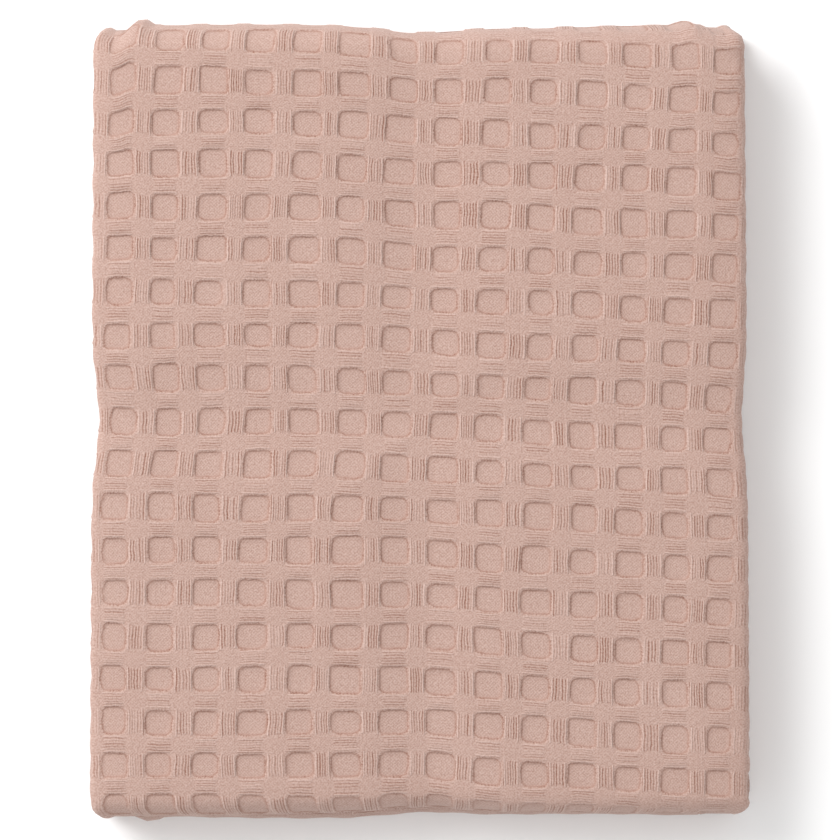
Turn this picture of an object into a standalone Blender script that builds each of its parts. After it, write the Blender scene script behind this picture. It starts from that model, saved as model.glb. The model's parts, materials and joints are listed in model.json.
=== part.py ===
"""A waffle weave cotton blanket, folded and lying flat.

It is one sheet of cloth of about 1.0 by 1.2 m. It is folded back and forth across its width into a strip of four
layers, and the strip is folded back and forth along its length into four, so sixteen layers lie on each other.
Both times the first free edge is tucked in under the top run, so the top has a fold at each of its four sides.
The last free edges show at the right side and at the +Y end.

Metres. X is across the folded blanket, Y along it and Z up. The origin is under its middle, on the surface it
lies on. A place on the cloth is (across, along, off): two places in the folds, and the distance from the middle
of the cloth's thickness, towards its face.
"""

from collections import namedtuple
from math import cos, exp, pi, sin

import bmesh
import bpy

# The folded blanket
WIDTH = 0.249
LENGTH = 0.300
CLOTH = 0.0018  # one layer, from rib to rib
LAYER_PITCH = 0.0024
STRIP_LAYERS = 4
STRIP_GAP = 0.0004  # more room between two strips than between two layers
STRIP_PITCH = STRIP_LAYERS * LAYER_PITCH + STRIP_GAP
STRIP_HALF = (STRIP_LAYERS - 1) / 2 * LAYER_PITCH + CLOTH / 2

# How much flatter than a half circle the bends are pressed
BEND_BULGE_ACROSS = 1.0
BEND_BULGE_ALONG = 0.7

# A run is one length of the path between two bends. Its level counts from the top, and its reach is where its far
# end comes to: the crown of the bend after it, or the free edge.
Run = namedtuple("Run", "level reach")
RUNS_ACROSS = (
    Run(level=2, reach=-0.501 * WIDTH),
    Run(level=1, reach=0.500 * WIDTH),
    Run(level=3, reach=-0.502 * WIDTH),
    Run(level=4, reach=0.492 * WIDTH),
)
RUNS_ALONG = (
    Run(level=2, reach=-0.497 * LENGTH),
    Run(level=1, reach=0.4995 * LENGTH),
    Run(level=3, reach=-0.504 * LENGTH),
    Run(level=4, reach=0.496 * LENGTH),
)
TUCKED_EDGE_ACROSS = 0.480 * WIDTH
TUCKED_EDGE_ALONG = 0.462 * LENGTH

# Where the mesh has its stations, as shares of a run, and how many steps go round a bend
RUN_STATIONS = (0.0, 0.05, 0.25, 0.42, 0.5, 0.58, 0.75, 0.95)
BEND_STEPS_ACROSS = 4
BEND_STEPS_ALONG = 6

# The stack's unevenness
LOFT = 0.120  # share of the height by which the stack falls away towards its corners
LOFT_POWER = 16  # how near the rim the fall begins
MIDDLE_DIP = 0.050  # share of the height by which the two middle lines are pressed down
MIDDLE_DIP_WIDTH = 0.017
SAG = 0.012  # share of the height by which the layers rise and fall together
SAG_WAVES_X = 31.0  # radians to the metre
SAG_WAVES_Y = 23.0
SAG_PHASE_X = 1.0
SAG_PHASE_Y = 2.0
MIDDLE_AT_X = 0.001
MIDDLE_AT_Y = 0.0005
WAIST_LEFT = 0.0026  # how far the middle of each side is drawn in
WAIST_RIGHT = 0.0020
WAIST_TOP = 0.0019
WAIST_BOTTOM = 0.0016
WAIST_WIDTH = 0.019
CORNER_DRAW_IN = 0.0042  # how much narrower the stack is at the crown of a lengthwise bend, each side
CORNER_POWER = 4  # how near the crown the narrowing is
TAPER_LEFT = 0.0022  # how far the left side is drawn in at the +Y end
TAPER_RIGHT = 0.0013
SHORT_TOP = 0.0004  # how far the +Y end is drawn in at the +X side
SHORT_BOTTOM = 0.0011
STRIP_SWAY = 0.0007  # how far the four strips lie to one side or the other of each other
STRIP_SWAY_TURN = 1.3  # radians from one place along to the next
END_WAVE = 0.0006  # how far the bends at the ends wave in and out
END_WAVES = 34.0  # radians to the metre
END_WAVE_TURN = 1.1
HEM_SKEW = 0.012  # the slant of the last free end, so that it peeks out at the right of the +Y end

COTTON_PINK = (0.457, 0.308, 0.262, 1.0)
COTTON_ROUGHNESS = 0.9


class Section:
    """A back-and-forth path of level runs joined by bends, seen along its fold lines.

    A place on it is a number. It goes from 0 to 1 along the first run, from 1 to 2 round the first bend, from 2
    to 3 along the second run, and so on.
    """

    def __init__(self, runs, first_edge, pitch, half, bulge):
        self.bulge = bulge
        self.heights = [-(run.level - (len(runs) + 1) / 2) * pitch for run in runs]
        self.sides = [1 if run.reach > 0 else -1 for run in runs]
        self.radii = [abs(a - b) / 2 for a, b in zip(self.heights, self.heights[1:])]
        depths = [bulge * (radius + half) for radius in self.radii] + [0]
        self.ends = [run.reach - side * depth for run, side, depth in zip(runs, self.sides, depths)]
        self.starts = [first_edge] + self.ends[:-1]

    def point(self, place, off):
        """(how far along, how high) a place is, off the path's line by off towards its left."""
        number, share = divmod(place, 2)
        run = min(int(number), len(self.ends) - 1)
        side = self.sides[run]
        if share <= 1 or run == len(self.radii):
            way = self.starts[run] + share * (self.ends[run] - self.starts[run])
            return way, self.heights[run] + side * off
        angle = (share - 1) * pi
        downward = 1 if self.heights[run] > self.heights[run + 1] else -1
        reach = self.radii[run] + side * downward * off
        middle = (self.heights[run] + self.heights[run + 1]) / 2
        return self.ends[run] + side * self.bulge * reach * sin(angle), middle + downward * reach * cos(angle)

    def stations(self, bend_steps):
        """The places where the mesh has a line of vertices."""
        found = []
        for run in range(len(self.ends)):
            found += [2 * run + share for share in RUN_STATIONS]
            if run < len(self.radii):
                found += [2 * run + 1 + step / bend_steps for step in range(bend_steps)]
        return found + [2 * len(self.radii) + 1]


ACROSS = Section(RUNS_ACROSS, TUCKED_EDGE_ACROSS, LAYER_PITCH, CLOTH / 2, BEND_BULGE_ACROSS)
ALONG = Section(RUNS_ALONG, TUCKED_EDGE_ALONG, STRIP_PITCH, STRIP_HALF, BEND_BULGE_ALONG)
BOTTOM = min(ALONG.heights) - STRIP_HALF
LAST_RUN = 2 * (len(RUNS_ALONG) - 1)


def bell(distance, width):
    return exp(-((distance / width) ** 2))


def drawn_across(x, y, along):
    """x after the sides are drawn in at the middle and the corners, and the strips slip sideways a little."""
    left, right = 0.5 - x / WIDTH, 0.5 + x / WIDTH
    waist = bell(y - MIDDLE_AT_Y, WAIST_WIDTH)
    _, share = divmod(along, 2)
    crown = sin((share - 1) * pi) ** CORNER_POWER if share > 1 else 0
    taper = (TAPER_LEFT if x < 0 else TAPER_RIGHT) * (0.5 + y / LENGTH)
    narrower = (CORNER_DRAW_IN * crown + taper) * 2 * x / WIDTH
    sway = STRIP_SWAY * sin(STRIP_SWAY_TURN * along)
    return x + waist * (WAIST_LEFT * left - WAIST_RIGHT * right) - narrower + sway


def drawn_along(x, y, along):
    """y after the ends are drawn in at the middle and wave a little."""
    bottom, top = 0.5 - y / LENGTH, 0.5 + y / LENGTH
    waist = bell(x - MIDDLE_AT_X, WAIST_WIDTH)
    right = 0.5 + x / WIDTH
    from_top = (WAIST_TOP * waist + SHORT_TOP * right) * top
    from_bottom = (WAIST_BOTTOM * waist + SHORT_BOTTOM * right) * bottom
    wave = END_WAVE * sin(END_WAVES * x + END_WAVE_TURN * along)
    slant = HEM_SKEW * x * max(along - LAST_RUN, 0)
    return y - from_top + from_bottom + wave + slant


def height_share(x, y):
    """How much higher or lower than its level the stack is at a place."""
    across, along = 2 * x / WIDTH, 2 * y / LENGTH
    dip = max(bell(x - MIDDLE_AT_X, MIDDLE_DIP_WIDTH), bell(y - MIDDLE_AT_Y, MIDDLE_DIP_WIDTH))
    sag = sin(SAG_WAVES_X * x + SAG_PHASE_X) * sin(SAG_WAVES_Y * y + SAG_PHASE_Y)
    fall = LOFT * (across**LOFT_POWER + along**LOFT_POWER) / 2
    return 1 - fall - MIDDLE_DIP * dip + SAG * sag


def folded(across, along, off):
    """Where a place on the cloth lies in the folded blanket."""
    x, strip_height = ACROSS.point(across, off)
    y, z = ALONG.point(along, strip_height)
    moved_x = drawn_across(x, y, along)
    moved_y = drawn_along(x, y, along)
    return moved_x, moved_y, (z - BOTTOM) * height_share(x, y)


def blanket_mesh():
    """The cut cloth as a flat slab with a cell between each two stations, and then folded."""
    across_stations = ACROSS.stations(BEND_STEPS_ACROSS)
    along_stations = ALONG.stations(BEND_STEPS_ALONG)
    cells_across, cells_along = len(across_stations) - 1, len(along_stations) - 1
    cloth = bmesh.new()
    bmesh.ops.create_grid(cloth, x_segments=cells_across, y_segments=cells_along, size=0.5)
    bmesh.ops.solidify(cloth, geom=cloth.faces[:], thickness=1.0)
    middle = sum(vertex.co.z for vertex in cloth.verts) / len(cloth.verts)
    for vertex in cloth.verts:
        across = across_stations[round((vertex.co.x + 0.5) * cells_across)]
        along = along_stations[round((vertex.co.y + 0.5) * cells_along)]
        off = CLOTH / 2 if vertex.co.z > middle else -CLOTH / 2
        vertex.co = folded(across, along, off)
    bmesh.ops.recalc_face_normals(cloth, faces=cloth.faces[:])
    mesh = bpy.data.meshes.new("blanket")
    cloth.to_mesh(mesh)
    cloth.free()
    mesh.shade_smooth()
    return mesh


def cotton():
    material = bpy.data.materials.new("cotton")
    material.use_nodes = True
    shader = material.node_tree.nodes["Principled BSDF"]
    shader.inputs["Base Color"].default_value = COTTON_PINK
    shader.inputs["Roughness"].default_value = COTTON_ROUGHNESS
    shader.inputs["Metallic"].default_value = 0.0
    return material


def main():
    for old in list(bpy.data.objects):
        bpy.data.objects.remove(old)
    collection = bpy.data.collections.new("folded_waffle_blanket")
    bpy.context.scene.collection.children.link(collection)
    blanket = bpy.data.objects.new("blanket", blanket_mesh())
    blanket.data.materials.append(cotton())
    collection.objects.link(blanket)


main()
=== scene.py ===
"""The looks of a folded waffle weave cotton blanket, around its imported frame.

The blanket is one sheet of cloth, so it is one closed mesh. Each point of it starts as a place on the cloth,
(across, along), as in the frame's own folds, and a side, the face or the back. The weave gives how far the
surface stands off the cloth's middle there, and the folds carry the point to where it lies. What shows is
meshed finely enough for the recesses and ribs of the weave, and what is folded away inside is coarse. The
yarns are in the material, which reads the weave's own coordinates from the mesh.

Metres, but for the material's sizes. X is across the folded blanket, Y along it and Z up.
"""
import json
from collections import namedtuple
from math import pi

import bmesh
import bpy
import numpy as np
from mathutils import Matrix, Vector

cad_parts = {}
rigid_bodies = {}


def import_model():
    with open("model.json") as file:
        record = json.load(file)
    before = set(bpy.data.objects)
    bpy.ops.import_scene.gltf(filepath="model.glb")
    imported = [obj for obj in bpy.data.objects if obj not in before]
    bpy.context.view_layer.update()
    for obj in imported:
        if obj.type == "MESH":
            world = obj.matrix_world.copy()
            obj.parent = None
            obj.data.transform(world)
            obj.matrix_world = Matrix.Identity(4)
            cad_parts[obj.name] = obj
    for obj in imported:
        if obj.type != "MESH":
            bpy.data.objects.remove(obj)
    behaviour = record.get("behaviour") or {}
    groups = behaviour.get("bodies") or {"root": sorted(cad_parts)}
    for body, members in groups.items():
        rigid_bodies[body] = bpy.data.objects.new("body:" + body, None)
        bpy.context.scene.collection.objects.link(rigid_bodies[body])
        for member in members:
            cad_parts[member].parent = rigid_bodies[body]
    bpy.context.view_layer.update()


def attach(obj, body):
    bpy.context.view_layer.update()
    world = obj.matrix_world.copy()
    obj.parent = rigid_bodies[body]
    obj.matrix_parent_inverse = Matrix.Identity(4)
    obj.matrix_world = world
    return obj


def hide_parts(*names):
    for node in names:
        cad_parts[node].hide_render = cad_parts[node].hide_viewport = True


MM = 1000  # millimetres to the metre

# -------- the folds, as in the frame
WIDTH = 0.249
LENGTH = 0.300
CLOTH = 0.0018  # one layer, from rib to rib
LAYER_PITCH = 0.0024
STRIP_LAYERS = 4
STRIP_GAP = 0.0004  # more room between two strips than between two layers
STRIP_PITCH = STRIP_LAYERS * LAYER_PITCH + STRIP_GAP
STRIP_HALF = (STRIP_LAYERS - 1) / 2 * LAYER_PITCH + CLOTH / 2
BEND_BULGE_ACROSS = 1.0  # how deep a bend is, as a share of a half circle's depth
BEND_BULGE_ALONG = 0.7

# A run is one length of the path between two bends. Its level counts from the top, and its reach is where its
# far end comes to: the crown of the bend after it, or the free edge.
Run = namedtuple("Run", "level reach")
RUNS_ACROSS = (
    Run(level=2, reach=-0.501 * WIDTH),
    Run(level=1, reach=0.500 * WIDTH),
    Run(level=3, reach=-0.502 * WIDTH),
    Run(level=4, reach=0.492 * WIDTH),
)
RUNS_ALONG = (
    Run(level=2, reach=-0.497 * LENGTH),
    Run(level=1, reach=0.4995 * LENGTH),
    Run(level=3, reach=-0.504 * LENGTH),
    Run(level=4, reach=0.496 * LENGTH),
)
TUCKED_EDGE_ACROSS = 0.480 * WIDTH
TUCKED_EDGE_ALONG = 0.462 * LENGTH

# Places on a path, the same both ways. A place goes from 0 to 1 along the first run, from 1 to 2 round the
# first bend, and so on.
END = 2 * len(RUNS_ACROSS) - 1  # the last free edge
BEND_ONE, BEND_TWO, BEND_THREE = range(1, END, 2)  # where the three bends start
CROWN_ONE, CROWN_TWO, CROWN_THREE = (bend + 0.5 for bend in range(1, END, 2))  # half way round them
TOP_RUN = BEND_ONE + 1
THIRD_RUN = BEND_TWO + 1

LOFT = 0.120  # share of the height by which the stack falls away towards its corners
LOFT_POWER = 16  # how near the rim the fall begins
MIDDLE_DIP = 0.050  # share of the height by which the two middle lines are pressed down
MIDDLE_DIP_WIDTH = 0.017
SAG = 0.012  # share of the height by which the layers rise and fall together
SAG_WAVES_X = 31.0  # radians to the metre
SAG_WAVES_Y = 23.0
SAG_PHASE_X = 1.0
SAG_PHASE_Y = 2.0
MIDDLE_AT_X = 0.001
MIDDLE_AT_Y = 0.0005
WAIST_LEFT = 0.0026  # how far the middle of each side is drawn in
WAIST_RIGHT = 0.0020
WAIST_TOP = 0.0019
WAIST_BOTTOM = 0.0016
WAIST_WIDTH = 0.019
CORNER_DRAW_IN = 0.0042  # how much narrower the stack is at the crown of a lengthwise bend, each side
CORNER_POWER = 4  # how near the crown the narrowing is
TAPER_LEFT = 0.0022  # how far the left side is drawn in at the +Y end
TAPER_RIGHT = 0.0013
SHORT_TOP = 0.0004  # how far the +Y end is drawn in at the +X side
SHORT_BOTTOM = 0.0011
STRIP_SWAY = 0.0007  # how far the four strips lie to one side or the other of each other
STRIP_SWAY_TURN = 1.3  # radians from one place along to the next
END_WAVE = 0.0006  # how far the bends at the ends wave in and out
END_WAVES = 34.0  # radians to the metre
END_WAVE_TURN = 1.1
HEM_SKEW = 0.012  # the slant of the last free end

# -------- soft forms too small for the frame
# At the left of the +Y end the fold steps back
STEP_AT = -0.1120
STEP_WIDTH = 0.0055
STEP_BACK = 0.0022
# Where an end bulges out, or stays back where out is negative. x is its middle across, and place is along.
Nudge = namedtuple("Nudge", "x half_width out place")
END_NUDGES = (
    Nudge(x=-0.1245, half_width=0.0038, out=0.0015, place=CROWN_TWO),
    Nudge(x=-0.1095, half_width=0.0034, out=0.0022, place=CROWN_TWO),
    Nudge(x=-0.1067, half_width=0.0045, out=0.0020, place=CROWN_THREE),
    Nudge(x=-0.1250, half_width=0.0055, out=0.0011, place=CROWN_ONE),
    Nudge(x=0.1260, half_width=0.0045, out=0.0014, place=CROWN_ONE),
    Nudge(x=0.1186, half_width=0.0090, out=-0.0008, place=CROWN_THREE),
    Nudge(x=0.1048, half_width=0.0036, out=0.0015, place=CROWN_TWO),
    Nudge(x=0.1160, half_width=0.0034, out=-0.0010, place=CROWN_TWO),
    Nudge(x=0.1275, half_width=0.0030, out=-0.0030, place=CROWN_TWO),
    Nudge(x=0.1270, half_width=0.0080, out=-0.0030, place=END),
)
NUDGE_SPREAD = 0.6  # how far along a nudge or the step reaches, in places

# -------- the weave
COLUMN_PITCH = 0.01782
ROW_PITCH = 0.01624
FIRST_COLUMN_AT = -0.0090
FIRST_ROW_AT = -0.00193
# How the weave lies askew in the top run: its columns lean and its rows fall, each with a curve
COLUMN_LEAN = 0.0175
COLUMN_CURVE = 0.035
ROW_FALL = -0.0350
ROW_CURVE = -0.130
ASKEW_REACH = 0.17  # from the top run's middle, how far the weave keeps lying askew
ASKEW_FADE = 0.06
ROWS_DRAWN_IN = 0.0017  # how far the rows near the +Y fold lie back from it
DRAWN_IN_FROM = 0.080
DRAWN_IN_TO = 0.150
COLUMNS_BY_THE_FOLD = 0.0008  # how far the columns at the left lie towards the middle by the -Y fold
BY_THE_FOLD_FROM = 0.128  # towards the -Y fold from the top run's middle
BY_THE_FOLD_FADE = 0.020
BY_THE_FOLD_LEFT = 0.050  # to the left of the middle, where the move is full
# Small moves of the columns and the rows: (metres, power of x / half the width, power of y / half the length)
COLUMN_MOVES = (
    (0.00027, 0, 0),
    (-0.00024, 0, 1),
    (0.00130, 1, 0),
    (0.00101, 1, 1),
    (-0.00057, 2, 0),
    (-0.00257, 3, 0),
)
ROW_MOVES = (
    (-0.00037, 0, 0),
    (0.00059, 1, 0),
    (-0.00116, 3, 0),
    (-0.00062, 0, 1),
    (0.00024, 0, 3),
    (-0.00020, 1, 1),
)
MOVES_REACH = 1.08  # half widths or half lengths from the middle, past which the moves stay the same
WANDER = 0.00038  # how far a column or row wanders from its even place, in three waves
# A wave's share of the wander, its radians to the metre both ways, and its radians at the middle
Wave = namedtuple("Wave", "share across along turn")
COLUMN_WAVES = (
    Wave(1.0, 171, 23, 0),
    Wave(0.7, -61, 97, 1),
    Wave(0.5, 389, 0, 4),
)
ROW_WAVES = (
    Wave(1.0, -31, 157, 2),
    Wave(0.7, 83, 71, 0),
    Wave(0.4, 0, 353, 5),
)
SHIFT_ROUNDS = 6  # a shift depends on the place that it moves to, so it is found in rounds

RECESS_HALF_WIDTH = 0.00535
RECESS_HALF_LENGTH = 0.00490
RECESS_CORNER = 0.0025
RECESS_JITTER = 0.00030  # how much a recess's place and size vary
CORNER_JITTER = 0.0007
LEAN_JITTER = 0.06  # how far its sides lean, in metres to the metre
CHANCE_SEED = 11
CHANCE_COLUMNS = 96  # more than the cloth has
CHANCE_ROWS = 128
WALL_FOOT = -0.00050  # from the recess's edge, negative is inside it
WALL_TOP = 0.00040
SOFT_FROM = 0.25  # the walls get softer towards a recess's corners, as shares of half a cell
SOFT_TO = 0.55
SOFT_WALL = 0.0004  # how much further a soft wall reaches, each way
FLOOR_OFF = -0.00003  # off the cloth's middle
FLOOR_BOWL = 0.00012  # how much lower the floor's middle is than its rim
RIB_OFF = 0.00066
RIM_RISE = 0.00012
RIM_AT = 0.00075
RIM_WIDTH = 0.00060
CROSSING_RISE = 0.00010
CROSSING_FROM = 0.5  # as a share of half a cell
CROSSING_SLOPE = 3
SWELL = 0.00025  # how far the ribs swell out, and the recesses stay back, where the cloth goes round a bend
FOLDED_AWAY_OFF = 0.00084  # where the weave isn't meshed
HEM_OFF = 0.00078
HEM_WIDTH = 0.0125
HEM_STEP = 0.0007
EDGE_ROUND = 0.0009
EDGE_LEAST = 0.25  # the share of its thickness that the cloth has at its very edge
STITCH_AT = 0.0105
STITCH_DEPTH = 0.0002
STITCH_WIDTH = 0.0005
LEVEL_FROM = 0.008  # how far from a bend the cloth lies level

# -------- the mesh
# Stations between the middles of two recesses, as distances from the recess's middle
COLUMN_STATIONS = (0.0, 0.0026, 0.0044, 0.0049, 0.0053, 0.0058, 0.0070, COLUMN_PITCH / 2)
ROW_STATIONS = (0.0, 0.0025, 0.0040, 0.0045, 0.0050, 0.0056, ROW_PITCH / 2)
SIDE_ROW_STATIONS = (0.0, 0.0042, 0.0050, 0.0058, ROW_PITCH / 2)
UNDER_STATIONS = (0.0, 0.0044, 0.0058, ROW_PITCH / 2)
HEM_ROW_STATIONS = (0.0, ROW_PITCH / 2)
STATION_DIGITS = 6  # of a station's share of a cell
EDGE_STATIONS = (0.0, 0.0002, 0.0005, 0.0010)  # from a free edge
PLACE_DIGITS = 7
SAME_PLACE = 5e-7  # places no further apart than this are one

BEND_MARGIN = 0.0030  # how far a fine bend's lane reaches into the runs beside it
MARGIN_SHARES = np.array([0.25, 0.6, 1.0])
NARROW_BEND_STEPS = 6  # round a bend from one layer to the next
WIDE_BEND_STEPS = 8  # round a bend over a layer
LANE_GAP = 0.0007  # between two lanes, which a strip of triangles closes
BEND_ROWS_APART = 0.0018  # how far apart the rows of a fine lane may lie round a bend
EDGE_CLEAR = 0.004  # how far from a free edge a fine lane's first row of the weave lies, in places

PAST_BEND = 0.025  # how far the top patch goes on past its two bends, in places
TOP_GAP = 0.01  # between the top patch and the coarse ones before and after it, in places
COLUMN_CLEAR = 0.001  # how near the side of a patch a column of the weave may lie
TURN_STEPS = 6  # from the side of the top patch to the weave's first column
ROW_SAMPLES = 20  # where the top patch's first and last rows are looked for
FREE_END_COLUMNS = 40  # of the coarse patch after it
UNDER_GAP = 0.005  # between the underside's fine patch and the coarse one before it, in places
UNDER_CLEAR = 0.05  # how far from the free edge the underside's last row of the weave lies, in places
MOST_ROWS = 100  # more than the cloth has after the middle of the top run

COARSE_SHARES = tuple(np.linspace(0, 1, 12, endpoint=False))
COARSE_CLEAR = 0.012  # how near the end of a stretch a coarse station may lie, in places
HIDDEN_BEND_STEPS = 5
ALONG_BEND_STEPS = 8
PATH_SAMPLES = 300  # to a place, for the lengths of a path


class Section:
    """A back-and-forth path of level runs joined by bends."""

    def __init__(self, runs, first_edge, pitch, half, bulge):
        self.bulge = bulge
        self.heights = np.array([-(run.level - (len(runs) + 1) / 2) * pitch for run in runs])
        self.sides = np.array([1 if run.reach > 0 else -1 for run in runs])
        self.radii = abs(np.diff(self.heights)) / 2
        depths = np.append(bulge * (self.radii + half), 0)
        self.ends = np.array([run.reach for run in runs]) - self.sides * depths
        self.starts = np.append(first_edge, self.ends[:-1])
        self.places = np.linspace(0, END, PATH_SAMPLES * END + 1)
        self.lengths = self.path_length(0.0)
        slide = self.path_length(half) - self.lengths
        self.slides = (slide - np.interp(TOP_RUN, self.places, slide)) / half

    def point(self, place, off):
        """(how far along, how high) places are, off the path's line by off towards its left."""
        run = np.minimum(place // 2, len(self.ends) - 1).astype(int)
        share = place - 2 * run
        side = self.sides[run]
        way = self.starts[run] + share * (self.ends[run] - self.starts[run])
        height = self.heights[run] + side * off
        bend = np.minimum(run, len(self.radii) - 1)
        downward = np.where(self.heights[bend] > self.heights[bend + 1], 1, -1)
        reach = self.radii[bend] + side * downward * off
        middle = (self.heights[bend] + self.heights[bend + 1]) / 2
        angle = (share - 1) * pi
        bend_way = self.ends[run] + side * self.bulge * reach * np.sin(angle)
        bend_height = middle + downward * reach * np.cos(angle)
        on_bend = (share > 1) & (run < len(self.radii))
        return np.where(on_bend, bend_way, way), np.where(on_bend, bend_height, height)

    def path_length(self, off):
        """The length of the path from its first edge to each of its places, measured off its line."""
        way, height = self.point(self.places, off)
        steps = np.hypot(np.diff(way), np.diff(height))
        return np.append(0, np.cumsum(steps))

    def length_at(self, place):
        return np.interp(place, self.places, self.lengths)

    def place_at(self, length):
        return np.interp(length, self.lengths, self.places)


ACROSS = Section(RUNS_ACROSS, TUCKED_EDGE_ACROSS, LAYER_PITCH, CLOTH / 2, BEND_BULGE_ACROSS)
ALONG = Section(RUNS_ALONG, TUCKED_EDGE_ALONG, STRIP_PITCH, STRIP_HALF, BEND_BULGE_ALONG)
BOTTOM = min(ALONG.heights) - STRIP_HALF
LAST_RUN = 2 * (len(RUNS_ALONG) - 1)


def bell(distance, width):
    return np.exp(-((distance / width) ** 2))


def crown(place):
    """0 in the level runs, and 1 half way round a bend."""
    share = place % 2
    return np.where(share > 1, np.sin((share - 1) * pi), 0)


def bump(distance, half_width):
    """1 in the middle, and steep at half_width."""
    return np.exp(-((distance / half_width) ** 4))


def smooth(share):
    """0 below 0, 1 above 1, and a soft step between."""
    share = np.clip(share, 0, 1)
    return share * share * (3 - 2 * share)


# -------- how the folds lie
def drawn_across(x, y, along):
    """x after the sides are drawn in at the middle and the corners, and the strips slip sideways a little."""
    left, right = 0.5 - x / WIDTH, 0.5 + x / WIDTH
    waist = bell(y - MIDDLE_AT_Y, WAIST_WIDTH)
    taper = np.where(x < 0, TAPER_LEFT, TAPER_RIGHT) * (0.5 + y / LENGTH)
    narrower = (CORNER_DRAW_IN * crown(along) ** CORNER_POWER + taper) * 2 * x / WIDTH
    sway = STRIP_SWAY * np.sin(STRIP_SWAY_TURN * along)
    return x + waist * (WAIST_LEFT * left - WAIST_RIGHT * right) - narrower + sway


def drawn_along(x, y, along):
    """y after the ends are drawn in at the middle, wave a little, and get their bulges and step."""
    bottom, top = 0.5 - y / LENGTH, 0.5 + y / LENGTH
    waist = bell(x - MIDDLE_AT_X, WAIST_WIDTH)
    right = 0.5 + x / WIDTH
    from_top = (WAIST_TOP * waist + SHORT_TOP * right) * top
    from_bottom = (WAIST_BOTTOM * waist + SHORT_BOTTOM * right) * bottom
    wave = END_WAVE * np.sin(END_WAVES * x + END_WAVE_TURN * along)
    slant = HEM_SKEW * x * np.maximum(along - LAST_RUN, 0)
    nudged = sum(
        nudge.out * bump(x - nudge.x, nudge.half_width) * bump(along - nudge.place, NUDGE_SPREAD)
        for nudge in END_NUDGES
    )
    step = STEP_BACK * smooth((STEP_AT - x) / STEP_WIDTH) * bump(along - CROWN_TWO, NUDGE_SPREAD)
    return y - (from_top - from_bottom) + wave + slant + nudged * np.sign(y) - step


def height_share(x, y):
    """How much higher or lower than its level the stack is at a place."""
    across, along = 2 * x / WIDTH, 2 * y / LENGTH
    dip = np.maximum(bell(x - MIDDLE_AT_X, MIDDLE_DIP_WIDTH), bell(y - MIDDLE_AT_Y, MIDDLE_DIP_WIDTH))
    sag = np.sin(SAG_WAVES_X * x + SAG_PHASE_X) * np.sin(SAG_WAVES_Y * y + SAG_PHASE_Y)
    fall = LOFT * (across**LOFT_POWER + along**LOFT_POWER) / 2
    return 1 - fall - MIDDLE_DIP * dip + SAG * sag


def folded(across, along, off):
    """Where places on the cloth lie."""
    x, strip_height = ACROSS.point(across, off)
    y, z = ALONG.point(along, strip_height)
    moved_x = drawn_across(x, y, along)
    moved_y = drawn_along(x, y, along)
    return np.stack([moved_x, moved_y, (z - BOTTOM) * height_share(x, y)], axis=-1)


# -------- the cloth laid flat
# Places on the flat cloth are (u, v) in metres, along the two edges, from the middle of the top run. Where
# the strip of four layers bends, its outer layers slide past its inner ones, so v depends on the layer too.
TOP_MIDDLE = np.array(TOP_RUN + 0.5)
U_MIDDLE = float(ACROSS.length_at(TOP_MIDDLE) - ACROSS.point(TOP_MIDDLE, 0)[0])
V_MIDDLE = float(ALONG.length_at(TOP_MIDDLE) - ALONG.point(TOP_MIDDLE, 0)[0])


def slide_at(along):
    """The slide of a layer for each metre that it lies above the strip's middle. It dies away in hidden
    runs."""
    first = smooth(along)
    third = np.cos(pi * np.clip(along - THIRD_RUN, 0, 1)) ** 2
    return np.interp(along, ALONG.places, ALONG.slides) * first * third


def u_at(across):
    return ACROSS.length_at(across) - U_MIDDLE


def v_at(along, strip_height):
    return ALONG.length_at(along) + strip_height * slide_at(along) - V_MIDDLE


def flat_place(across, along):
    _, strip_height = ACROSS.point(across, 0)
    return u_at(across), v_at(along, strip_height)


def along_at(v, strip_height):
    """The place along of a layer's flat place."""
    return np.interp(v, v_at(ALONG.places, strip_height), ALONG.places)


def askew(distance):
    return 1 - smooth((abs(distance) - ASKEW_REACH) / ASKEW_FADE)


def moved(u, v, moves):
    x = np.clip(2 * u / WIDTH, -MOVES_REACH, MOVES_REACH)
    y = np.clip(2 * v / LENGTH, -MOVES_REACH, MOVES_REACH)
    return sum(far * x**power_x * y**power_y for far, power_x, power_y in moves)


def wandered(u, v, waves):
    return WANDER * sum(wave.share * np.sin(wave.across * u + wave.along * v + wave.turn) for wave in waves)


def column_shift(u, v):
    lean = (COLUMN_LEAN * v + COLUMN_CURVE * v * v) * askew(v) + moved(u, v, COLUMN_MOVES)
    by_the_fold = smooth((-v - BY_THE_FOLD_FROM) / BY_THE_FOLD_FADE)
    lean = lean + COLUMNS_BY_THE_FOLD * by_the_fold * smooth(-u / BY_THE_FOLD_LEFT)
    return lean + wandered(u, v, COLUMN_WAVES)


def row_shift(u, v):
    fall = (ROW_FALL * u + ROW_CURVE * u * u) * askew(u) + moved(u, v, ROW_MOVES)
    fall = fall - ROWS_DRAWN_IN * smooth((v - DRAWN_IN_FROM) / (DRAWN_IN_TO - DRAWN_IN_FROM))
    return fall + wandered(u, v, ROW_WAVES)


def weave_place(u, v):
    """(column, row) of the weave, with the middles of the face's recesses at whole numbers."""
    column = (u - column_shift(u, v) - FIRST_COLUMN_AT) / COLUMN_PITCH
    row = (v - row_shift(u, v) - FIRST_ROW_AT) / ROW_PITCH
    return column, row


def row_flat_place(u, row):
    """v where a row of the weave crosses u."""
    v = row * ROW_PITCH
    for _ in range(SHIFT_ROUNDS):
        v = row * ROW_PITCH + FIRST_ROW_AT + row_shift(u, v)
    return v


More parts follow.
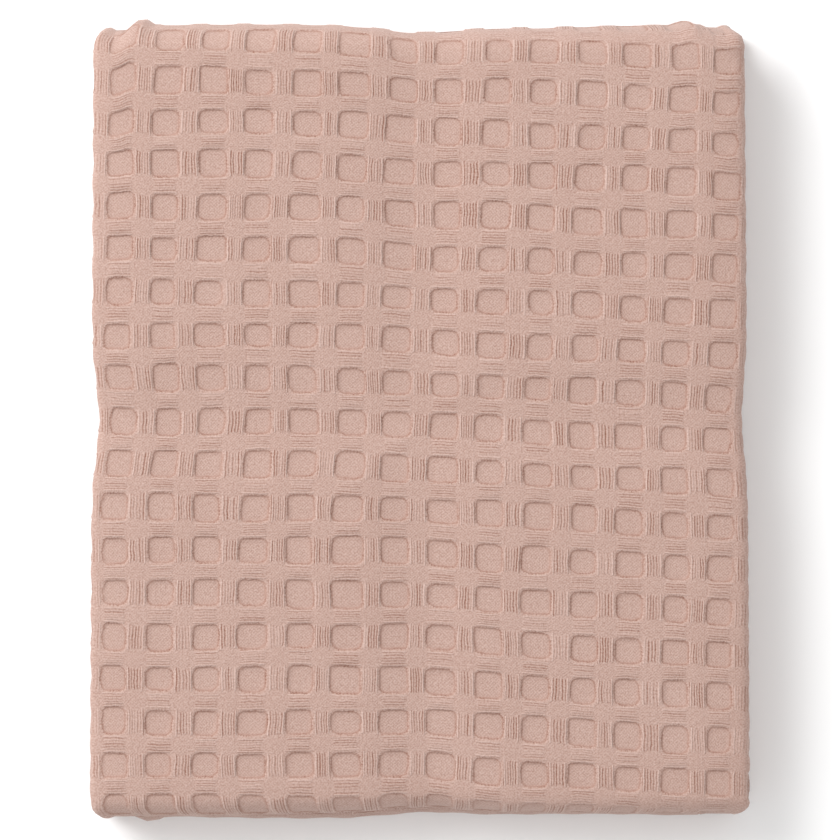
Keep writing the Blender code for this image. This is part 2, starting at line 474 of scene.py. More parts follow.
def cell_flat_place(column, row):
    """(u, v) of a place in the weave."""
    u, v = column * COLUMN_PITCH, row * ROW_PITCH
    for _ in range(SHIFT_ROUNDS):
        u = column * COLUMN_PITCH + FIRST_COLUMN_AT + column_shift(u, v)
        v = row * ROW_PITCH + FIRST_ROW_AT + row_shift(u, v)
    return u, v


# -------- the surface of the weave
# Six numbers from -1 to 1 for each recess: its moves, its growths, its corner and its lean
CHANCES = np.random.default_rng(CHANCE_SEED).uniform(-1, 1, (6, CHANCE_COLUMNS, CHANCE_ROWS))


def recess_distance(column, row):
    """How far places are from the edge of the nearest recess, negative inside it."""
    nearest_column, nearest_row = np.round(column).astype(int), np.round(row).astype(int)
    chances = CHANCES[:, nearest_column % CHANCE_COLUMNS, nearest_row % CHANCE_ROWS]
    move_x, move_y, grow_x, grow_y, rounder, lean = chances
    from_middle_x = (column - nearest_column) * COLUMN_PITCH - RECESS_JITTER * move_x
    from_middle_y = (row - nearest_row) * ROW_PITCH - RECESS_JITTER * move_y
    corner = RECESS_CORNER + CORNER_JITTER * rounder
    half_width = RECESS_HALF_WIDTH + RECESS_JITTER * grow_x
    half_length = RECESS_HALF_LENGTH + RECESS_JITTER * grow_y
    x = abs(from_middle_x - LEAN_JITTER * lean * from_middle_y) - (half_width - corner)
    y = abs(from_middle_y) - (half_length - corner)
    outside = np.hypot(np.maximum(x, 0), np.maximum(y, 0))
    return outside + np.minimum(np.maximum(x, y), 0) - corner


def weave_off(column, row, distance):
    """How far the surface stands off the cloth's middle."""
    from_column = abs(column - np.round(column)) * 2  # 0 in a recess's middle, 1 in a rib's
    from_row = abs(row - np.round(row)) * 2
    floor = FLOOR_OFF - FLOOR_BOWL * (1 - smooth(from_column)) * (1 - smooth(from_row))
    between_columns = smooth((from_column - CROSSING_FROM) * CROSSING_SLOPE)
    between_rows = smooth((from_row - CROSSING_FROM) * CROSSING_SLOPE)
    crossing = between_columns * between_rows
    corner = smooth((np.minimum(from_column, from_row) - SOFT_FROM) / (SOFT_TO - SOFT_FROM))
    foot, top = WALL_FOOT - SOFT_WALL * corner, WALL_TOP + SOFT_WALL * corner
    rib = RIB_OFF + RIM_RISE * (1 - corner) * bell(distance - RIM_AT, RIM_WIDTH) + CROSSING_RISE * crossing
    wall = smooth((distance - foot) / (top - foot))
    return floor + wall * (rib - floor)


def level_share(across):
    """0 round the bends across, and 1 in the level runs."""
    length = ACROSS.length_at(across)
    bends = [(ACROSS.length_at(bend), ACROSS.length_at(bend + 1)) for bend in range(BEND_ONE, END, 2)]
    away = np.min([np.maximum(start - length, length - end) for start, end in bends], axis=0)
    return smooth(away / LEVEL_FROM)


def hem_off(off, edge):
    """The surface near a free edge: the flat hem, with its stitches, and the rounded edge."""
    hem = HEM_OFF - STITCH_DEPTH * bell(edge - STITCH_AT, STITCH_WIDTH)
    off = hem + (off - hem) * smooth((edge - HEM_WIDTH) / HEM_STEP)
    inward = 1 - np.clip(edge / EDGE_ROUND, 0, 1)
    return off * np.maximum(np.sqrt(1 - inward**2), EDGE_LEAST)


# -------- the mesh of one side
class Side:
    """One side of the cloth as a mesh: patches of places on the cloth, zipped to each other."""

    def __init__(self, first_index):
        self.first_index = first_index
        self.places = []
        self.fine = []
        self.faces = []
        self.count = 0

    def patch(self, across, along, fine):
        """Adds a grid of places, and returns the indices of its vertices."""
        index = self.first_index + self.count + np.arange(across.size).reshape(across.shape)
        self.count += across.size
        self.places.append(np.stack([across, along], axis=-1).reshape(-1, 2))
        self.fine.append(np.full(across.size, fine))
        corners = (index[:-1, :-1], index[:-1, 1:], index[1:, 1:], index[1:, :-1])
        self.faces += np.stack(corners, axis=-1).reshape(-1, 4).tolist()
        return index

    def at(self, index, axis):
        places = np.concatenate(self.places)
        return places[index - self.first_index, axis]

    def join(self, low, high, axis):
        self.faces += zipped(low, high, self.at(low, axis), self.at(high, axis))

    def lane(self, patches):
        """Adds patches that follow each other along the cloth, zipped, and returns its two long borders and
        its first and last row."""
        grids = [self.patch(*patch) for patch in patches]
        for below, above in zip(grids, grids[1:]):
            self.join(below[-1], above[0], axis=0)
        left = np.concatenate([grid[:, 0] for grid in grids])
        right = np.concatenate([grid[:, -1] for grid in grids])
        return left, right, grids[0][0], grids[-1][-1]

    def cloth(self, lanes):
        """Adds lanes side by side, zipped, and returns the cloth's four borders, each with the axis that it
        goes along."""
        borders = [self.lane(patches) for patches in lanes]
        for here, beside in zip(borders, borders[1:]):
            self.join(here[1], beside[0], axis=1)
        first_row = np.concatenate([border[2] for border in borders])
        last_row = np.concatenate([border[3] for border in borders])
        return (borders[0][0], 1), (borders[-1][1], 1), (first_row, 0), (last_row, 0)


def zipped(low, high, low_at, high_at):
    """Triangles between two rows of vertices, each in the order of its places."""
    faces = []
    i = j = 0
    while i < len(low) - 1 or j < len(high) - 1:
        if j == len(high) - 1 or (i < len(low) - 1 and low_at[i + 1] < high_at[j + 1]):
            faces.append([int(low[i]), int(low[i + 1]), int(high[j])])
            i += 1
        else:
            faces.append([int(low[i]), int(high[j + 1]), int(high[j])])
            j += 1
    return faces


# -------- the stations of the patches
def repeated(stations, pitch, first, last):
    """The stations of every cell from first to last, counted in cells."""
    shares = {round(side * station / pitch, STATION_DIGITS) for station in stations for side in (-1, 1)}
    around = [share for share in sorted(shares) if share > -0.5]
    found = [cell + share for cell in range(int(first) - 2, int(last) + 3) for share in around]
    return np.array([share for share in found if first <= share <= last])


def coarse_places(first, last, bend_steps):
    """Places from first to last: a few on each run, and bend_steps round each bend."""
    found = []
    for run in range(END // 2 + 1):
        found += [2 * run + share for share in COARSE_SHARES]
        if 2 * run + 1 < END:
            found += [2 * run + 1 + step / bend_steps for step in range(bend_steps)]
    inner = [place for place in found if first + COARSE_CLEAR < place < last - COARSE_CLEAR]
    return np.array([first] + inner + [last])


def with_edges(places, section):
    """Adds the stations of a free edge where places start or end at one."""
    run_length = section.length_at(1.0)
    last_length = section.length_at(END) - section.length_at(END - 1.0)
    bands = np.array(EDGE_STATIONS + (STITCH_AT, HEM_WIDTH, HEM_WIDTH + HEM_STEP))
    if places[0] == 0:
        places = np.append(places, bands / run_length)
    if places[-1] == END:
        places = np.append(places, END - bands / last_length)
    places = np.unique(places.round(PLACE_DIGITS))
    return places[np.append(True, np.diff(places) > SAME_PLACE)]


def with_bend_rows(along):
    """Adds a row halfway where two rows round a bend lie far apart."""
    middles = (along[1:] + along[:-1]) / 2
    apart = np.diff(ALONG.length_at(along)) > BEND_ROWS_APART
    return np.sort(np.append(along, middles[apart & (middles % 2 > 1)]))


def further(place, length):
    """The place across that lies a length further along the cloth."""
    return float(ACROSS.place_at(ACROSS.length_at(place) + length))


def between(places, first, last):
    return places[(places >= first) & (places <= last)]


def grid(across, along, fine=False):
    return (*np.meshgrid(across, along), fine)


def hidden(first, last, rows):
    """A coarse patch of what is folded away."""
    return grid(with_edges(coarse_places(first, last, HIDDEN_BEND_STEPS), ACROSS), rows)


def side_rows(across, stations=SIDE_ROW_STATIONS):
    """Rows of a fine lane that runs all along the cloth at a place across."""
    _, strip_height = ACROSS.point(np.array(across), 0)
    u = u_at(across)
    _, first = weave_place(u, -V_MIDDLE)
    _, last = weave_place(u, ALONG.lengths[-1] - V_MIDDLE)
    rows = repeated(stations, ROW_PITCH, first, last)
    along = along_at(row_flat_place(u, rows), strip_height)
    along = along[(along > EDGE_CLEAR) & (along < END - EDGE_CLEAR)]
    return with_bend_rows(with_edges(np.concatenate([[0], along, [END]]), ALONG))


def bend_columns(bend, steps):
    """Columns of a fine lane round a bend, with a margin of the runs on both sides."""
    before = ACROSS.length_at(bend) - BEND_MARGIN * MARGIN_SHARES[::-1]
    after = ACROSS.length_at(bend + 1) + BEND_MARGIN * MARGIN_SHARES
    round_bend = np.linspace(bend, bend + 1, steps + 1)
    return np.concatenate([ACROSS.place_at(before), round_bend, ACROSS.place_at(after)])


def top_patch(first, last):
    """The patch that shows on top and round both ends. Its columns and rows follow the weave, and near its
    sides the columns turn to follow the folds."""
    _, strip_height = ACROSS.point(TOP_MIDDLE, 0)
    left, right = u_at(first), u_at(last)
    v_first, v_last = v_at(np.array([BEND_ONE - PAST_BEND, BEND_TWO + 1 + PAST_BEND]), strip_height)
    samples = np.linspace(left, right, ROW_SAMPLES)
    row_first = weave_place(samples, v_first)[1].min()
    row_last = weave_place(samples, v_last)[1].max()
    rows = repeated(ROW_STATIONS, ROW_PITCH, row_first, row_last)
    columns = repeated(COLUMN_STATIONS, COLUMN_PITCH, left / COLUMN_PITCH - 1, right / COLUMN_PITCH + 1)
    u, _ = cell_flat_place(*np.meshgrid(columns, rows))
    inside = (u.min(axis=0) > left + COLUMN_CLEAR) & (u.max(axis=0) < right - COLUMN_CLEAR)
    u = u[:, inside]
    shares = np.linspace(0, 1, TURN_STEPS + 1)[None, :]
    left_part = left + shares[:, :-1] * (u[:, :1] - left)
    right_part = u[:, -1:] + shares[:, 1:] * (right - u[:, -1:])
    u = np.concatenate([left_part, u, right_part], axis=1)
    v = row_flat_place(u, rows[:, None])
    return ACROSS.place_at(u + U_MIDDLE), along_at(v, strip_height), True


def under_columns(first, last):
    """Columns of the underside's fine patch. They lie at the same shares of a cell as its rows."""
    left, right = u_at(first), u_at(last)
    columns = repeated(UNDER_STATIONS, ROW_PITCH, left / COLUMN_PITCH - 0.5, right / COLUMN_PITCH + 1.5)
    u = (columns - 0.5) * COLUMN_PITCH + FIRST_COLUMN_AT
    u = u[(u > left + COLUMN_CLEAR) & (u < right - COLUMN_CLEAR)]
    return np.concatenate([[first], ACROSS.place_at(u + U_MIDDLE), [last]])


def under_rows(across):
    """Rows of the underside's fine patch, from the third bend to the free edge."""
    rows = repeated(UNDER_STATIONS, ROW_PITCH, 0, MOST_ROWS) - 0.5
    along = along_at(row_flat_place(u_at(across), rows), ACROSS.heights[-1])
    along = along[(along > BEND_THREE) & (along < END - UNDER_CLEAR)]
    return with_bend_rows(with_edges(np.append(along, END), ALONG))


# -------- the whole cloth
def face_side(rows):
    """The face and its borders. A fine lane goes round each of the bends at the top's sides, and the fine
    top patch lies between them."""
    face = Side(0)
    bend_one = bend_columns(BEND_ONE, NARROW_BEND_STEPS)
    bend_two = bend_columns(BEND_TWO, WIDE_BEND_STEPS)
    top_first, top_last = further(bend_one[-1], LANE_GAP), further(bend_two[0], -LANE_GAP)
    top = top_patch(top_first, top_last)
    _, top_rows, _ = top
    before_top = between(rows, 0, top_rows[0].min() - TOP_GAP)
    after_top = between(rows, top_rows[-1].max() + TOP_GAP, END)
    borders = face.cloth([
        [hidden(0, further(bend_one[0], -LANE_GAP), rows)],
        [grid(bend_one, side_rows(CROWN_ONE), True)],
        [
            hidden(top_first, top_last, before_top),
            top,
            grid(np.linspace(top_first, top_last, FREE_END_COLUMNS), after_top),
        ],
        [grid(bend_two, side_rows(CROWN_TWO), True)],
        [hidden(further(bend_two[-1], LANE_GAP), END, rows)],
    ])
    return face, borders


def back_side(first_index, rows):
    """The back and its borders. A fine lane goes round the third bend, and the underside has a fine patch
    and a fine hem."""
    back = Side(first_index)
    bend_three = bend_columns(BEND_THREE, NARROW_BEND_STEPS)
    under_first = further(bend_three[-1], LANE_GAP)
    under_last = float(ACROSS.place_at(ACROSS.lengths[-1] - HEM_WIDTH - HEM_STEP - LANE_GAP))
    columns, fine_rows = under_columns(under_first, under_last), under_rows(under_first)
    hem_columns = with_edges(np.array([further(under_last, LANE_GAP), END]), ACROSS)
    borders = back.cloth([
        [hidden(0, further(bend_three[0], -LANE_GAP), rows)],
        [grid(bend_three, side_rows(CROWN_THREE), True)],
        [
            hidden(under_first, under_last, between(rows, 0, fine_rows[0] - UNDER_GAP)),
            grid(columns, fine_rows, True),
        ],
        [grid(hem_columns, side_rows(END, HEM_ROW_STATIONS), True)],
    ])
    return back, borders


def surface_at(across, along, side, fine):
    """Where places on one side or the other lie, and two vectors that the material reads there: the weave's
    (column, row, millimetres from the nearest recess's edge), and how the cloth lies, (millimetres from the
    nearest free edge, 1 on the level and 0 round a bend, 0)."""
    u, v = flat_place(across, along)
    column, row = weave_place(u, v)
    behind = (side < 0) * 0.5  # the back's recesses lie behind the face's crossings
    column, row = column + behind, row + behind
    distance = recess_distance(column, row)
    swell = crown(across) * np.cos(2 * pi * (row - 0.5)) + crown(along) * np.cos(2 * pi * (column - 0.5))
    off = np.where(fine, weave_off(column, row, distance) + SWELL * swell, FOLDED_AWAY_OFF)
    edge_across = np.minimum(u + U_MIDDLE, ACROSS.lengths[-1] - u - U_MIDDLE)
    along_length = ALONG.length_at(along)
    edge_along = np.minimum(along_length, ALONG.lengths[-1] - along_length)
    edge = np.minimum(edge_across, edge_along)
    weave = np.stack([column, row, distance * MM], axis=-1)
    lie = np.stack([edge * MM, level_share(across), np.zeros(len(edge))], axis=-1)
    return folded(across, along, side * hem_off(off, edge)), weave, lie


def carry(mesh, name, vectors):
    carried = mesh.attributes.new(name, "FLOAT_VECTOR", "POINT")
    carried.data.foreach_set("vector", vectors.ravel())


def blanket():
    rows = with_edges(coarse_places(0, END, ALONG_BEND_STEPS), ALONG)
    face, face_borders = face_side(rows)
    back, back_borders = back_side(face.count, rows)
    places = np.concatenate(face.places + back.places)
    fine = np.concatenate(face.fine + back.fine)
    side = np.concatenate([np.ones(face.count), -np.ones(back.count)])
    faces = face.faces + back.faces
    for (low, axis), (high, _) in zip(face_borders, back_borders):
        faces += zipped(low, high, places[low, axis], places[high, axis])
    points, weave, lie = surface_at(*places.T, side, fine)

    mesh = bpy.data.meshes.new("waffle_blanket")
    mesh.from_pydata(points.tolist(), [], faces)
    carry(mesh, "weave", weave)
    carry(mesh, "lie", lie)
    shaped = bmesh.new()
    shaped.from_mesh(mesh)
    bmesh.ops.recalc_face_normals(shaped, faces=shaped.faces)
    shaped.to_mesh(mesh)
    shaped.free()
    mesh.shade_smooth()
    piece = bpy.data.objects.new("waffle_blanket", mesh)
    bpy.context.collection.objects.link(piece)
    return piece


# -------- the material
COTTON_PINK = (0.457, 0.308, 0.262, 1.0)
SHADE_BROWN = (0.200, 0.069, 0.033, 1.0)  # painted shade, deep between the yarns and at the foot of the recesses' walls
BOUNCE_BROWN = (0.455, 0.300, 0.252, 1.0)  # painted warm shade on the walls of the recesses, for light that the cloth bounces within them
SHEEN_TINT = (1.0, 0.95, 0.92, 1.0)
COTTON_ROUGHNESS = 0.9
COTTON_SPECULAR = 0.2
SHEEN = 0.18
SHEEN_ROUGHNESS = 0.5

# From here to the stage, sizes are in millimetres
COLUMN_YARN = 1.03  # from one yarn to the next in a rib between two columns of recesses
ROW_YARN = 0.95
FLOAT_YARNS = 6  # beside each other in a rib
COLUMN_FLOAT = 4.3  # half the length of the yarns that float beside a recess
ROW_FLOAT = 4.4
TWIST = 0.95  # from one turn of a yarn's plies to the next
TWIST_SLANT = 0.6
THREAD = 1.25  # the diamonds of the fine weave between the floats
STITCH = 3.0

# The yarns of a rib
YARNS_LEAST = 0.92  # how many there are to a pitch, at the loosest
YARNS_LUCK = 0.12  # how many more there are to the millimetre, at the tightest
YARN_SWAY = 0.9  # how far they sway sideways, in yarns
END_LUCK = 0.9  # how much shorter a yarn may end
OUTER_LONGER = 0.6  # how much longer the outermost ones are
END_NONE, END_FULL = 0.55, -0.05  # where a yarn's end sinks away
OUTER_FROM, OUTER_TO = 1.1, 0.8  # where the outermost one begins, in yarns from the rib's side
SIDE_FADE = 0.15  # how far the cover of the floats fades each way at the rib's side, in yarns
OUTER_RISE = 0.3  # how much higher the outermost ones stand
CREASE_LEAST, CREASE_LUCK = 0.15, 1.2  # how deep the painted shade in the creases between two yarns is
CREASE_SALT = 30  # gives the creases other chances than the yarns
# Painted highlights on the yarns' ridges, varied by the twist of their plies and stronger on the outermost
# yarns
RIDGE_HIGHLIGHT = 0.16
TWIST_HIGHLIGHT = 0.16
OUTER_HIGHLIGHT = 0.27
YARN_LUCK_LIGHT = 0.20
WAVE_MEAN = 0.6  # of a wave of rounded ridges
DIAMOND_MEAN = 0.4

# Bands along a recess's edge: (where a band is none, where it is full) from the edge, negative inside it
RAGGEDNESS = 0.9  # how far the recess's edge wanders for them, as the share of a noise
WALL_BAND = (-0.35, 0.10)
FOOT_INNER, FOOT_OUTER = (-0.70, -0.25), (0.25, -0.05)
RIM_INNER, RIM_OUTER = (0.10, 0.35), (0.90, 0.55)
# where the walls get the painted warm shade of bounced light
BOUNCE_INNER, BOUNCE_OUTER = (-1.0, -0.4), (0.6, 0.1)
RECESS_BAND = (0.0, -0.6)
SHADE_INNER, SHADE_OUTER = (-2.6, -0.2), (0.3, -0.2)
CROSSING_BAND = (0.2, 0.8)
STITCH_BAND = (0.35, 0.1)  # either side of the line of stitches
STITCH_GAP = (0.25, 0.6)  # of the wave of the stitches
WALL_AT_CORNER = 0.5  # shares of what they are along a recess's straight sides
FOOT_AT_CORNER = 0.9
COVER_ROUND_BEND = 0.75  # how far the floats cover a rib round a bend across

# How high things stand in the bump
COLUMN_FLOAT_HEIGHT = 0.15
ROW_FLOAT_HEIGHT = 0.11
DIAMOND_HEIGHT = 0.08
FUZZ_HEIGHT = 0.17
GRAIN_HEIGHT = 0.10
WALL_HEIGHT = 0.09
STITCH_HEIGHT = 0.25

# How much tone, painted highlights and painted shade lighten or darken the cloth, as shares of the way from
# the painted shade's colour to the pink
COLUMN_FLOAT_LIGHT = 0.67
ROW_FLOAT_LIGHT = 0.46
DIAMOND_LIGHT = 0.14
RECESSED_DIAMOND_LIGHT = 0.12  # more than that, in a recess
# Painted highlight along the rims of the recesses
RIM_HIGHLIGHT = 0.03
FUZZ_LIGHT = 0.9
GRAIN_LIGHT = 0.40
PATCH_LIGHT = 0.15
STITCH_LIGHT = 0.10
FOOT_SHADE = 0.27  # painted shade in the band at the foot of a recess's walls
FOOT_PATCHES = 2.4  # how patchy that is
FOOT_DIAMONDS, FOOT_PLAIN = 1.7, 0.35  # and how much of it the weave's diamonds break up
# Painted shade on a recess's floor near its walls, broken up by the fuzz
FLOOR_FUZZ, FLOOR_SHADE = 0.8, 0.05
CROSSING_DARK = 0.02


class Number:
    """A number in a material's nodes. Arithmetic on it adds the nodes that work it out."""

    def __init__(self, tree, socket):
        self.tree = tree
        self.socket = socket

    def math(self, operation, *others):
        node = self.tree.nodes.new("ShaderNodeMath")
        node.operation = operation
        for socket, value in zip(node.inputs, (self, *others)):
            if isinstance(value, Number):
                self.tree.links.new(value.socket, socket)
            else:
                socket.default_value = value
        return Number(self.tree, node.outputs[0])

    def __add__(self, other):
        return self.math("ADD", other)

    def __sub__(self, other):
        return self.math("SUBTRACT", other)

    def __mul__(self, other):
        return self.math("MULTIPLY", other)

    def size(self):
        return self.math("ABSOLUTE")

    def rest(self):
        return self * -1.0 + 1.0

    def wave(self):
        """A rounded ridge between each two whole numbers, with sharp creases at them."""
        return (self * pi).math("SINE").size()

    def step(self, low, high):
        """0 up to low, 1 from high on, and a soft step between. With high under low it goes down."""
        node = self.tree.nodes.new("ShaderNodeMapRange")
        node.interpolation_type = "SMOOTHSTEP"
        self.tree.links.new(self.socket, node.inputs["Value"])
        node.inputs["From Min"].default_value = min(low, high)
        node.inputs["From Max"].default_value = max(low, high)
        node.inputs["To Min"].default_value = 0.0 if low < high else 1.0
        node.inputs["To Max"].default_value = 1.0 if low < high else 0.0
        return Number(self.tree, node.outputs["Result"])

    def band(self, inner, outer):
        """1 between two steps, one up and one down."""
        return self.step(*inner) * self.step(*outer)


def vector(x, y, z=None):
    node = x.tree.nodes.new("ShaderNodeCombineXYZ")
    for value, socket in zip((x, y, z), node.inputs):
        if value is not None:
            x.tree.links.new(value.socket, socket)
    return node.outputs["Vector"]


def noise(place, scale, detail=1.0):
    """Noise around 0 over a vector, mostly within 0.3 either way."""
    tree = place.id_data
    node = tree.nodes.new("ShaderNodeTexNoise")
    node.inputs["Scale"].default_value = scale
    node.inputs["Detail"].default_value = detail
    tree.links.new(place, node.inputs["Vector"])
    return Number(tree, node.outputs["Fac"]) - 0.5


def chance(*numbers):
    """A number from 0 to 1 that belongs to up to three whole numbers."""
    tree = numbers[0].tree
    node = tree.nodes.new("ShaderNodeTexWhiteNoise")
    tree.links.new(vector(*numbers), node.inputs["Vector"])
    return Number(tree, node.outputs["Value"])


def mixed(share, first, second):
    """The first colour where share is 0, the second where it is 1, and further on along the same line past 1.
    Each is a colour or a socket that gives one."""
    tree = share.tree
    node = tree.nodes.new("ShaderNodeMix")
    node.data_type = "RGBA"
    node.clamp_factor = False
    tree.links.new(share.socket, node.inputs["Factor"])
    for colour, socket in ((first, node.inputs["A"]), (second, node.inputs["B"])):
        if isinstance(colour, tuple):
            socket.default_value = colour
        else:
            tree.links.new(colour, socket)
    return node.outputs["Result"]


def attribute(tree, name):
    """The three numbers of a vector that the mesh carries."""
    node, parts = tree.nodes.new("ShaderNodeAttribute"), tree.nodes.new("ShaderNodeSeparateXYZ")
    node.attribute_name = name
    tree.links.new(node.outputs["Vector"], parts.inputs["Vector"])
    return [Number(tree, socket) for socket in parts.outputs]


def float_yarns(beside, along, half_length, pitch, sway, cell, salt):
    """The yarns that float side by side over a rib: (how high they stand, their own random tone with painted
    highlights on their ridges and painted shade in their creases, how much of the place they cover). beside
    and along are distances from the block's middle, and cell is two numbers that tell the block from the
    others. With another salt it gets other chances."""
    squeeze = chance(*cell) * YARNS_LUCK + (YARNS_LEAST / pitch)
    yarn = beside * squeeze + sway
    luck = chance(*cell, yarn.math("FLOOR") + salt)
    crease_luck = chance(*cell, yarn.math("ROUND") + (salt + CREASE_SALT))
    ridge = yarn.wave()
    half = FLOAT_YARNS / 2
    outer = beside.size().step((half - OUTER_FROM) * pitch, (half - OUTER_TO) * pitch)
    ends = along.size() + luck * END_LUCK - outer * OUTER_LONGER
    inside = ends.step(half_length + END_NONE, half_length + END_FULL)
    covered = inside * beside.size().step((half + SIDE_FADE) * pitch, (half - SIDE_FADE) * pitch)
    # Painted shade in the creases between the yarns
    crease_shade = ridge.rest() * (crease_luck * CREASE_LUCK + CREASE_LEAST)
    twist = (along * (1 / TWIST) + beside * (TWIST_SLANT / TWIST)).wave() - WAVE_MEAN
    # Painted highlights on the ridges, varied by the twist
    ridge_highlight = ridge * (twist * TWIST_HIGHLIGHT + RIDGE_HIGHLIGHT)
    # Each yarn's own random tone, with the painted highlights, stronger on the outermost yarns, less the
    # painted shade of the creases
    light_and_tone = (luck - 0.5) * YARN_LUCK_LIGHT + ridge_highlight + outer * ridge * OUTER_HIGHLIGHT - crease_shade
    return ridge + outer * OUTER_RISE, light_and_tone, covered


def waffle_cotton():
    material = bpy.data.materials.new("waffle_cotton")
    material.use_nodes = True
    tree = material.node_tree
    shader = tree.nodes["Principled BSDF"]
    column, row, distance = attribute(tree, "weave")
    edge, level, _ = attribute(tree, "lie")
    u, v = column * (COLUMN_PITCH * MM), row * (ROW_PITCH * MM)
    place = vector(u, v)
    woven = edge.step(HEM_WIDTH * MM, (HEM_WIDTH + HEM_STEP) * MM)

    # From the middle line of the nearest rib, and from the middle of the nearest recess, each way
    from_column = (column.math("FRACT") - 0.5) * (COLUMN_PITCH * MM)
    from_row = (row.math("FRACT") - 0.5) * (ROW_PITCH * MM)
    from_recess_x = (column - column.math("ROUND")) * (COLUMN_PITCH * MM)
    from_recess_y = (row - row.math("ROUND")) * (ROW_PITCH * MM)
    column_cell = (column.math("FLOOR"), row.math("ROUND"))
    row_cell = (column.math("ROUND"), row.math("FLOOR") + 0.5)

    # The floats, and the fine weave where they leave it bare
    sway = noise(place, scale=0.20) * YARN_SWAY
    column_high, column_light_and_tone, column_cover = float_yarns(
        from_column, from_recess_y, COLUMN_FLOAT, COLUMN_YARN, sway, column_cell, salt=0.3)
    row_high, row_light_and_tone, row_cover = float_yarns(
        from_row, from_recess_x, ROW_FLOAT, ROW_YARN, sway, row_cell, salt=0.6)
    column_cover = column_cover * woven * (level * (1 - COVER_ROUND_BEND) + COVER_ROUND_BEND)
    row_cover = row_cover * woven
    bare = (column_cover + row_cover).rest()
    diamonds = ((u + v) * (1 / THREAD)).wave() * ((u - v) * (1 / THREAD)).wave()
    fuzz = noise(place, scale=1.6)
    grain = noise(place, scale=0.8)

    # The recesses, with ragged edges
    ragged = distance + noise(place, scale=0.45) * RAGGEDNESS + fuzz
    corner_x = from_recess_x.size() * (2 / COLUMN_PITCH / MM)
    corner_y = from_recess_y.size() * (2 / ROW_PITCH / MM)
    straight = corner_x.math("MINIMUM", corner_y).step(SOFT_TO, SOFT_FROM)
    wall = ragged.step(*WALL_BAND) * (straight * (1 - WALL_AT_CORNER) + WALL_AT_CORNER)
    # The band at the foot of the walls, which gets painted shade
    foot = ragged.band(FOOT_INNER, FOOT_OUTER) * (straight * (1 - FOOT_AT_CORNER) + FOOT_AT_CORNER) * woven
    # The band along a recess's rim, which gets a painted highlight
    rim = ragged.band(RIM_INNER, RIM_OUTER) * woven
    # The band where the walls get a painted warm shade of light bounced within the recess
    bounce_band = ragged.band(BOUNCE_INNER, BOUNCE_OUTER) * woven
    recessed = distance.step(*RECESS_BAND) * woven
    shaded_floor = distance.band(SHADE_INNER, SHADE_OUTER) * woven
    on_crossing = bare * distance.step(*CROSSING_BAND) * woven
    stitch_line = (edge - STITCH_AT * MM).size().step(*STITCH_BAND)
    stitch = stitch_line * ((u + v) * (1 / STITCH)).wave().step(*STITCH_GAP)

    floats_height = column_cover * column_high * COLUMN_FLOAT_HEIGHT + row_cover * row_high * ROW_FLOAT_HEIGHT
    height = floats_height + bare * diamonds * DIAMOND_HEIGHT + fuzz * FUZZ_HEIGHT + grain * GRAIN_HEIGHT
    height = height + wall * woven * WALL_HEIGHT + stitch * STITCH_HEIGHT
    bump_node = tree.nodes.new("ShaderNodeBump")
    bump_node.inputs["Strength"].default_value = 1.0
    bump_node.inputs["Distance"].default_value = 1.0
    tree.links.new((height * (1 / MM)).socket, bump_node.inputs["Height"])
    tree.links.new(bump_node.outputs["Normal"], shader.inputs["Normal"])

    patches = noise(place, scale=0.035, detail=2.0)
    # The floats' own tone with their painted highlights and painted shade, the fine weave's diamonds where
    # they leave it bare, and the rims' painted highlight
    columns_light_and_tone = column_cover * column_light_and_tone * COLUMN_FLOAT_LIGHT
    rows_light_and_tone = row_cover * row_light_and_tone * ROW_FLOAT_LIGHT
    bare_bright = bare * (diamonds - DIAMOND_MEAN) * (recessed * RECESSED_DIAMOND_LIGHT + DIAMOND_LIGHT)
    light_and_tone = columns_light_and_tone + rows_light_and_tone + bare_bright + rim * RIM_HIGHLIGHT
    # Painted shade, patchy, at the foot of the recesses' walls and on their floors near the walls, and a
    # slightly darker tone on the crossings
    foot_shade_patches = (noise(place, scale=0.16) * FOOT_PATCHES + 1.0) * (diamonds * FOOT_DIAMONDS + FOOT_PLAIN)
    painted_floor_shade = shaded_floor * (fuzz * FLOOR_FUZZ + FLOOR_SHADE)
    shade_and_tone = foot * foot_shade_patches * FOOT_SHADE + painted_floor_shade + on_crossing * CROSSING_DARK
    # The cloth's own tone with painted highlights, less painted shade, mixed from the painted shade's colour
    cloth_light_and_tone = light_and_tone + fuzz * FUZZ_LIGHT + grain * GRAIN_LIGHT + patches * PATCH_LIGHT
    shade = cloth_light_and_tone - shade_and_tone + stitch * STITCH_LIGHT + 1.0
    # The cloth's colour, with the painted warm shade of bounced light on the walls
    cloth_and_bounce_colour = mixed(bounce_band, COTTON_PINK, BOUNCE_BROWN)
    shaded = mixed(shade.math("MAXIMUM", 0.0), SHADE_BROWN, cloth_and_bounce_colour)
    tree.links.new(shaded, shader.inputs["Base Color"])
    shader.inputs["Roughness"].default_value = COTTON_ROUGHNESS
    shader.inputs["Specular IOR Level"].default_value = COTTON_SPECULAR
    shader.inputs["Sheen Weight"].default_value = SHEEN
    shader.inputs["Sheen Roughness"].default_value = SHEEN_ROUGHNESS
    shader.inputs["Sheen Tint"].default_value = SHEEN_TINT
    return material


# -------- the stage
PHOTO_SIZE = 840  # pixels, both ways
BLANKET_PIXELS = 661  # how wide the blanket is in the photo
BLANKET_MIDDLE_PIXEL = (419.5, 420.5)
PHOTO_PIXEL = WIDTH / BLANKET_PIXELS  # metres, in the plane of the blanket's top
TOP_HEIGHT = 0.039
CAMERA_DISTANCE = 3.0
WHITE = (0.97, 0.97, 0.97, 1.0)
FLOOR_ROUGHNESS = 0.8
FLOOR_HALF = 3.0
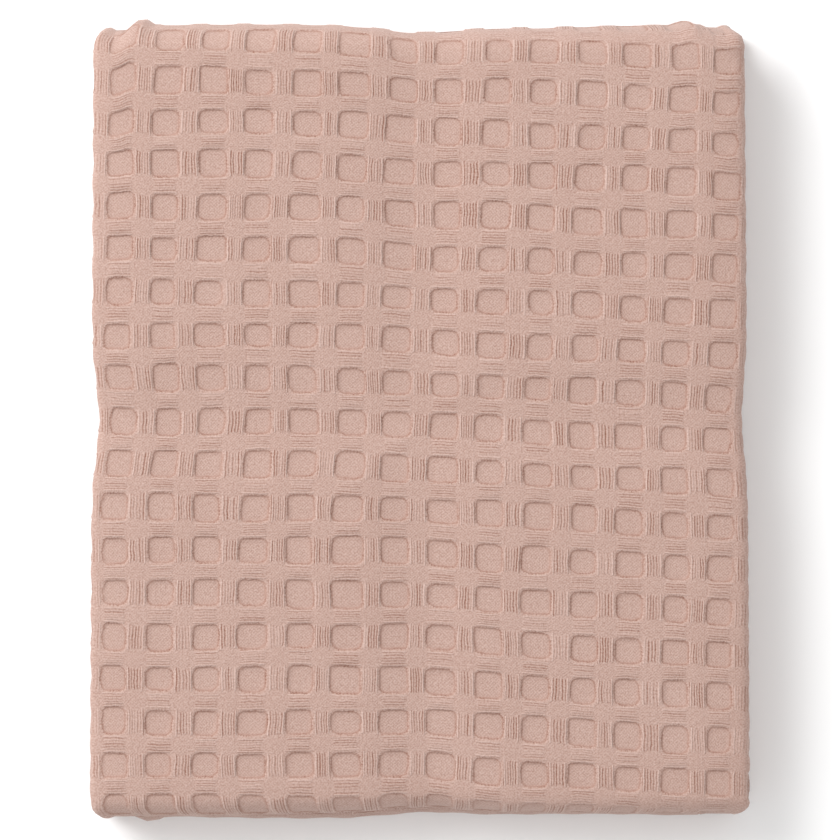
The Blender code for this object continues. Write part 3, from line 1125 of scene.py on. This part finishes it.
# Square lights that face the blanket
Light = namedtuple("Light", "name place size watts")
LIGHTS = (
    Light("key", (-1.2, 1.05, 1.65), 1.3, 40.0),
    Light("fill", (0.9, -0.6, 2.6), 2.4, 10.0),
    Light("side", (-2.2, 1.1, 0.9), 1.5, 15.0),
)
WORLD_WHITE = (1.0, 1.0, 1.0, 1.0)
WORLD_STRENGTH = 0.70


def camera():
    data = bpy.data.cameras.new("camera")
    field = PHOTO_SIZE * PHOTO_PIXEL
    data.lens = data.sensor_width * CAMERA_DISTANCE / field
    placed = bpy.data.objects.new("camera", data)
    column, row = BLANKET_MIDDLE_PIXEL
    x = (PHOTO_SIZE / 2 - column) * PHOTO_PIXEL
    y = (row - PHOTO_SIZE / 2) * PHOTO_PIXEL
    placed.location = (x, y, TOP_HEIGHT + CAMERA_DISTANCE)
    bpy.context.collection.objects.link(placed)
    bpy.context.scene.camera = placed


def area_light(light):
    data = bpy.data.lights.new(light.name, "AREA")
    data.size = light.size
    data.energy = light.watts
    placed = bpy.data.objects.new(light.name, data)
    placed.location = light.place
    placed.rotation_euler = Vector(light.place).to_track_quat("Z", "Y").to_euler()
    bpy.context.collection.objects.link(placed)


def floor_white():
    material = bpy.data.materials.new("floor_white")
    material.use_nodes = True
    shader = material.node_tree.nodes["Principled BSDF"]
    shader.inputs["Base Color"].default_value = WHITE
    shader.inputs["Roughness"].default_value = FLOOR_ROUGHNESS
    return material


def stage():
    mesh = bpy.data.meshes.new("floor")
    shaped = bmesh.new()
    bmesh.ops.create_grid(shaped, x_segments=1, y_segments=1, size=FLOOR_HALF)
    shaped.to_mesh(mesh)
    shaped.free()
    floor = bpy.data.objects.new("floor", mesh)
    bpy.context.collection.objects.link(floor)
    mesh.materials.append(floor_white())

    for light in LIGHTS:
        area_light(light)
    world = bpy.data.worlds.new("studio")
    world.use_nodes = True
    background = world.node_tree.nodes["Background"]
    background.inputs["Color"].default_value = WORLD_WHITE
    background.inputs["Strength"].default_value = WORLD_STRENGTH
    bpy.context.scene.world = world
    bpy.context.scene.view_settings.view_transform = "Standard"


def main():
    for old in list(bpy.data.objects):
        bpy.data.objects.remove(old)
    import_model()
    camera()
    stage()
    piece = blanket()
    piece.data.materials.append(waffle_cotton())
    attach(piece, "root")
    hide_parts("blanket")


main()
